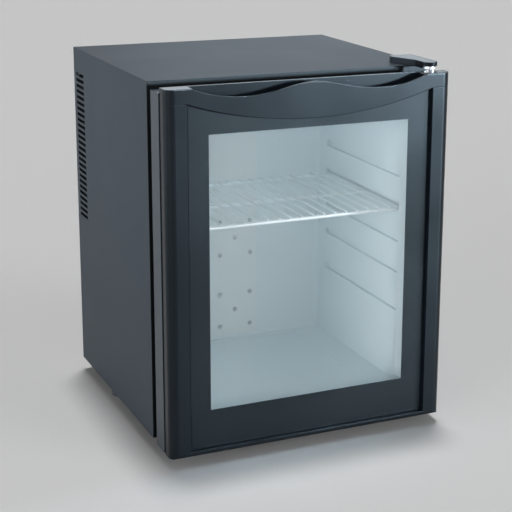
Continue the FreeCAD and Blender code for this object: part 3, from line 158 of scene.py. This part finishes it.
def mesh_of(name, points, faces, material):
    """Mesh from points and faces, with one material."""
    mesh = bpy.data.meshes.new(name)
    mesh.from_pydata(points, [], faces)
    mesh.validate()
    mesh.update()
    mesh.materials.append(material)
    return mesh


def add_node(tree, kind, operation=None, **values):
    """Shader node with some inputs set, each named as its label with _ for a space."""
    node = tree.nodes.new("ShaderNode" + kind)
    if operation:
        node.operation = operation
    for label, value in values.items():
        node.inputs[label.replace("_", " ")].default_value = value
    return node


def math_node(tree, operation, first, second):
    """Math node on two numbers, each a value or another node's output."""
    node = add_node(tree, "Math", operation)
    for place, part in enumerate((first, second)):
        if isinstance(part, float):
            node.inputs[place].default_value = part
        else:
            tree.links.new(part, node.inputs[place])
    return node.outputs["Value"]


def color_mix(tree, factor):
    """Mix of two colours, to be set or linked as A and B."""
    node = add_node(tree, "Mix")
    node.data_type = "RGBA"
    tree.links.new(factor, node.inputs["Factor"])
    return node


# Materials


def surface(name, color, roughness, metallic=0.0, specular=0.5, sheen=NEUTRAL, grain=900.0,
            grain_depth=0.00002, mottle=9.0, mottle_share=0.03, stretch=(1.0, 1.0, 1.0), edge=0.0,
            spread=0.02):
    """Procedural finish: mottled colour and gloss, a fine grain in relief, and softened edges."""
    material = bpy.data.materials.new(name)
    material.use_nodes = True
    tree = material.node_tree
    link = tree.links.new
    shader = tree.nodes["Principled BSDF"]
    shader.inputs["Metallic"].default_value = metallic
    shader.inputs["Specular IOR Level"].default_value = specular
    shader.inputs["Specular Tint"].default_value = (*sheen, 1.0)
    place = add_node(tree, "TexCoord")
    mapping = add_node(tree, "Mapping", Scale=stretch)
    link(place.outputs["Object"], mapping.inputs["Vector"])

    broad = add_node(tree, "TexNoise", Scale=mottle, Detail=NOISE_DETAIL)
    link(mapping.outputs["Vector"], broad.inputs["Vector"])
    tint = color_mix(tree, broad.outputs["Fac"])
    for side, share in (("A", 1.0 - mottle_share), ("B", 1.0 + mottle_share)):
        tint.inputs[side].default_value = (*[min(1.0, part * share) for part in color], 1.0)
    link(tint.outputs["Result"], shader.inputs["Base Color"])

    gloss = add_node(tree, "MapRange", From_Min=NOISE_LOW, From_Max=NOISE_HIGH, To_Min=roughness - spread,
                     To_Max=roughness + spread)
    link(broad.outputs["Fac"], gloss.inputs["Value"])
    link(gloss.outputs["Result"], shader.inputs["Roughness"])

    fine = add_node(tree, "TexNoise", Scale=grain, Detail=GRAIN_DETAIL)
    link(mapping.outputs["Vector"], fine.inputs["Vector"])
    relief = add_node(tree, "Bump", Strength=1.0, Distance=grain_depth)
    link(fine.outputs["Fac"], relief.inputs["Height"])
    if edge:
        soft = add_node(tree, "Bevel", Radius=edge)
        soft.samples = EDGE_SAMPLES
        link(soft.outputs["Normal"], relief.inputs["Normal"])
    link(relief.outputs["Normal"], shader.inputs["Normal"])
    return material


def clear_glass(name, veil, film, roughness, metallic):
    """Clear pane: its front mirrors more at a grazing angle, and a thin uneven film veils it."""
    material = surface(name, veil, roughness, metallic, **GLASS_GRAIN)
    tree = material.node_tree
    link = tree.links.new
    smear = add_node(tree, "TexNoise", Scale=FILM_SCALE, Detail=FILM_DETAIL)
    link(tree.nodes["Texture Coordinate"].outputs["Object"], smear.inputs["Vector"])
    thin = add_node(tree, "MapRange", To_Min=film * (1.0 - FILM_UNEVEN), To_Max=film * (1.0 + FILM_UNEVEN))
    link(smear.outputs["Fac"], thin.inputs["Value"])
    mirror = add_node(tree, "Fresnel", IOR=GLASS_IOR)
    front = math_node(tree, "SUBTRACT", 1.0, add_node(tree, "NewGeometry").outputs["Backfacing"])
    mirrored = math_node(tree, "MULTIPLY", mirror.outputs["Fac"], front)
    covers = math_node(tree, "ADD", mirrored, thin.outputs["Result"])
    mix = add_node(tree, "MixShader")
    link(covers, mix.inputs["Fac"])
    link(add_node(tree, "BsdfTransparent").outputs["BSDF"], mix.inputs[1])
    link(tree.nodes["Principled BSDF"].outputs["BSDF"], mix.inputs[2])
    link(mix.outputs["Shader"], tree.nodes["Material Output"].inputs["Surface"])
    return material


def second_color(material, source, test, bound, color):
    """Gives the material another colour where the object's own Y, as place or normal, passes a test."""
    tree = material.node_tree
    base = tree.nodes["Principled BSDF"].inputs["Base Color"]
    first = base.links[0].from_socket
    split = add_node(tree, "SeparateXYZ")
    tree.links.new(tree.nodes["Texture Coordinate"].outputs[source], split.inputs["Vector"])
    shade = color_mix(tree, math_node(tree, test, split.outputs["Y"], bound))
    tree.links.new(first, shade.inputs["A"])
    shade.inputs["B"].default_value = (*color, 1.0)
    tree.links.new(shade.outputs["Result"], base)


def finish_nodes():
    """Gives every node its slot's finish, apart from the few pieces with one of their own."""
    finishes = {slot: surface(slot, **look) for slot, look in LOOKS.items()}
    finishes["glazing"] = clear_glass("glazing", **OUTER_GLASS)
    # Painted shade: the cabinet paint's faces towards the door turn near black, standing in for the shadow in
    # the gap
    second_color(finishes["cabinet_paint"], "Normal", "LESS_THAN", FACES_DOOR, PAINTED_GAP_SHADE)
    second_color(finishes["door_plastic"], "Object", "GREATER_THAN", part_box("door_top_cap")[1].y, DOOR_BODY)
    bush = surface("bush", **BUSH_LOOK)
    own = {
        "inner_pane": clear_glass("inner_glass", **INNER_GLASS),
        "top_hinge_pin": surface("worn_pin", **PIN_LOOK),
        "top_hinge_bush": bush,
        "bottom_hinge_bush": bush,
    }
    for row in frame["record"]["subparts"]:
        mesh = frame["nodes"][row["node"]].data
        mesh.materials.clear()
        mesh.materials.append(own.get(row["node"], finishes[row["material_slot"]]))


# Printed border on the back of the outer pane


def between(start, end, steps):
    """Evenly spaced values from start to end."""
    return [start + (end - start) * step / steps for step in range(steps + 1)]


def printed_border():
    """Dark print round the clear window, on the pane's back and up behind the cap's curved edge."""
    pane_low, pane_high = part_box("outer_pane")
    spacer_low, spacer_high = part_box("glass_spacer")
    y = pane_high.y - PRINT_DEPTH
    left, right = spacer_low.x + WINDOW_SIDE, spacer_high.x - WINDOW_SIDE
    low, high = spacer_low.z + WINDOW_BOTTOM, spacer_high.z - WINDOW_TOP
    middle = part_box("door_top_cap")[0].z + PRINT_UNDER_CAP
    rise = pane_high.z - PRINT_UNDER_CAP / 2 - middle
    radius = (pane_high.x ** 2 + rise ** 2) / (2 * rise)
    points = []
    faces = []

    def arc(x):
        return middle + radius - math.sqrt(radius ** 2 - x ** 2)

    def strip(columns, bottom, top):
        first = len(points)
        for x in columns:
            points.extend([(x, y, bottom), (x, y, top(x))])
        for step in range(len(columns) - 1):
            a = first + step * 2
            faces.append((a, a + 2, a + 3, a + 1))

    strip(between(pane_low.x, left, PRINT_SIDE_STEPS), pane_low.z, arc)
    strip(between(right, pane_high.x, PRINT_SIDE_STEPS), pane_low.z, arc)
    strip(between(left, right, PRINT_TOP_STEPS), high, arc)
    strip([left, right], pane_low.z, lambda x: low)
    finish = surface("glass_print", **PRINT_LOOK)
    piece = add_object("glass_print", mesh_of("glass_print", points, faces, finish))
    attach(piece, "door")


# Floor, backdrop, light and camera


def floor():
    """Plain pale floor that runs out of sight."""
    half = FLOOR_SIZE / 2
    corners = [(-half, -half, 0), (half, -half, 0), (half, half, 0), (-half, half, 0)]
    piece = add_object("floor", mesh_of("floor", corners, [(0, 1, 2, 3)], surface("floor", **FLOOR_LOOK)))


def backdrop():
    """Even sky, with the plain backdrop's grey where a camera, glossy or transmission ray sees it."""
    world = bpy.data.worlds.new("studio")
    bpy.context.scene.world = world
    world.use_nodes = True
    tree = world.node_tree
    tree.nodes.clear()
    path = add_node(tree, "LightPath")
    seen = math_node(tree, "MAXIMUM", path.outputs["Is Camera Ray"], path.outputs["Is Glossy Ray"])
    any_seen = math_node(tree, "MAXIMUM", seen, path.outputs["Is Transmission Ray"])
    light = add_node(tree, "Background", Color=(*SKY, 1.0), Strength=SKY_STRENGTH)
    plain = add_node(tree, "Background", Color=(*BACKDROP, 1.0), Strength=BACKDROP_STRENGTH)
    mix = add_node(tree, "MixShader")
    tree.links.new(any_seen, mix.inputs["Fac"])
    tree.links.new(light.outputs["Background"], mix.inputs[1])
    tree.links.new(plain.outputs["Background"], mix.inputs[2])
    tree.links.new(mix.outputs["Shader"], add_node(tree, "OutputWorld").inputs["Surface"])


def aim(holder, at, towards):
    """Puts a lamp in its place, facing a point."""
    holder.location = at
    holder.rotation_euler = (Vector(towards) - Vector(at)).to_track_quat("-Z", "Y").to_euler()


def soft_sun(name, at, strength, width, color=NEUTRAL, diffuse=True, glossy=True):
    """Even light from far off in the direction of a point, as wide as so many degrees."""
    lamp = bpy.data.lights.new(name, "SUN")
    lamp.color = color
    lamp.energy = strength
    lamp.angle = math.radians(width)
    holder = add_object(name, lamp)
    holder.visible_diffuse = diffuse
    holder.visible_glossy = glossy
    aim(holder, at, (0.0, 0.0, 0.0))


def softbox(name, at, towards, size, power, spread=180.0, color=NEUTRAL, diffuse=True):
    """Square area lamp that faces a point, with its light spread over so many degrees."""
    lamp = bpy.data.lights.new(name, "AREA")
    lamp.color = color
    lamp.shape = "SQUARE"
    lamp.size = size
    lamp.energy = power
    lamp.spread = math.radians(spread)
    holder = add_object(name, lamp)
    holder.visible_camera = False
    holder.visible_diffuse = diffuse
    aim(holder, at, towards)


def lights():
    """Key light from above, soft fills, and lamps that show only as sheen."""
    soft_sun("overhead", at=(0.15, 0.35, 3.0), strength=2.1, width=9.0)
    soft_sun("front", at=(-0.3, -2.6, 0.3), strength=0.5, width=40.0)
    soft_sun("left", at=(-0.85, -0.52, 0.08), strength=2.1, width=30.0)
    soft_sun("right", at=(0.62, -0.80, 0.20), strength=1.4, width=30.0, glossy=False)
    soft_sun("glow", at=(0.63, -0.78, 0.05), strength=14.5, width=5.0, color=COOL_LIGHT, diffuse=False)
    soft_sun("crest", at=(0.42, -0.25, 0.88), strength=7.0, width=14.0, color=COOL_LIGHT, diffuse=False)
    soft_sun("edge", at=(-0.90, 0.38, 0.05), strength=4.5, width=30.0, color=COOL_LIGHT, diffuse=False)
    softbox("side", at=(-1.2, -0.05, 0.60), towards=(-0.2, 0.0, 0.45), size=0.3, power=0.4, spread=50.0)
    softbox("rear", at=(1.05, 2.2, 1.2), towards=(0.05, -0.1, 0.48), size=1.0, power=3.2, color=COOL_LIGHT,
            diffuse=False)


def camera():
    """Camera at the photograph's viewing angle."""
    lens = bpy.data.cameras.new("camera")
    lens.sensor_width = SENSOR_WIDTH
    lens.lens = FOCAL_PIXELS / IMAGE_SIZE * SENSOR_WIDTH
    lens.shift_x = -MIDDLE_OFF_X / IMAGE_SIZE
    lens.shift_y = MIDDLE_OFF_Y / IMAGE_SIZE
    lens.clip_start = NEAREST_SEEN
    lens.clip_end = FARTHEST_SEEN
    level = math.cos(CAMERA_ELEVATION)
    back = Vector((math.sin(CAMERA_AZIMUTH) * level, -math.cos(CAMERA_AZIMUTH) * level,
                   math.sin(CAMERA_ELEVATION)))
    right = Vector((math.cos(CAMERA_AZIMUTH), math.sin(CAMERA_AZIMUTH), 0.0))
    up = back.cross(right)
    rolled_right = right * math.cos(CAMERA_ROLL) + up * math.sin(CAMERA_ROLL)
    rolled_up = up * math.cos(CAMERA_ROLL) - right * math.sin(CAMERA_ROLL)
    turn = Matrix((rolled_right, rolled_up, back)).transposed().to_4x4()
    holder = add_object("camera", lens)
    holder.matrix_world = Matrix.Translation(CAMERA_TARGET + back * CAMERA_DISTANCE) @ turn
    bpy.context.scene.camera = holder


finish_nodes()
printed_border()
floor()
backdrop()
camera()
lights()
bpy.context.scene.view_settings.view_transform = "Standard"
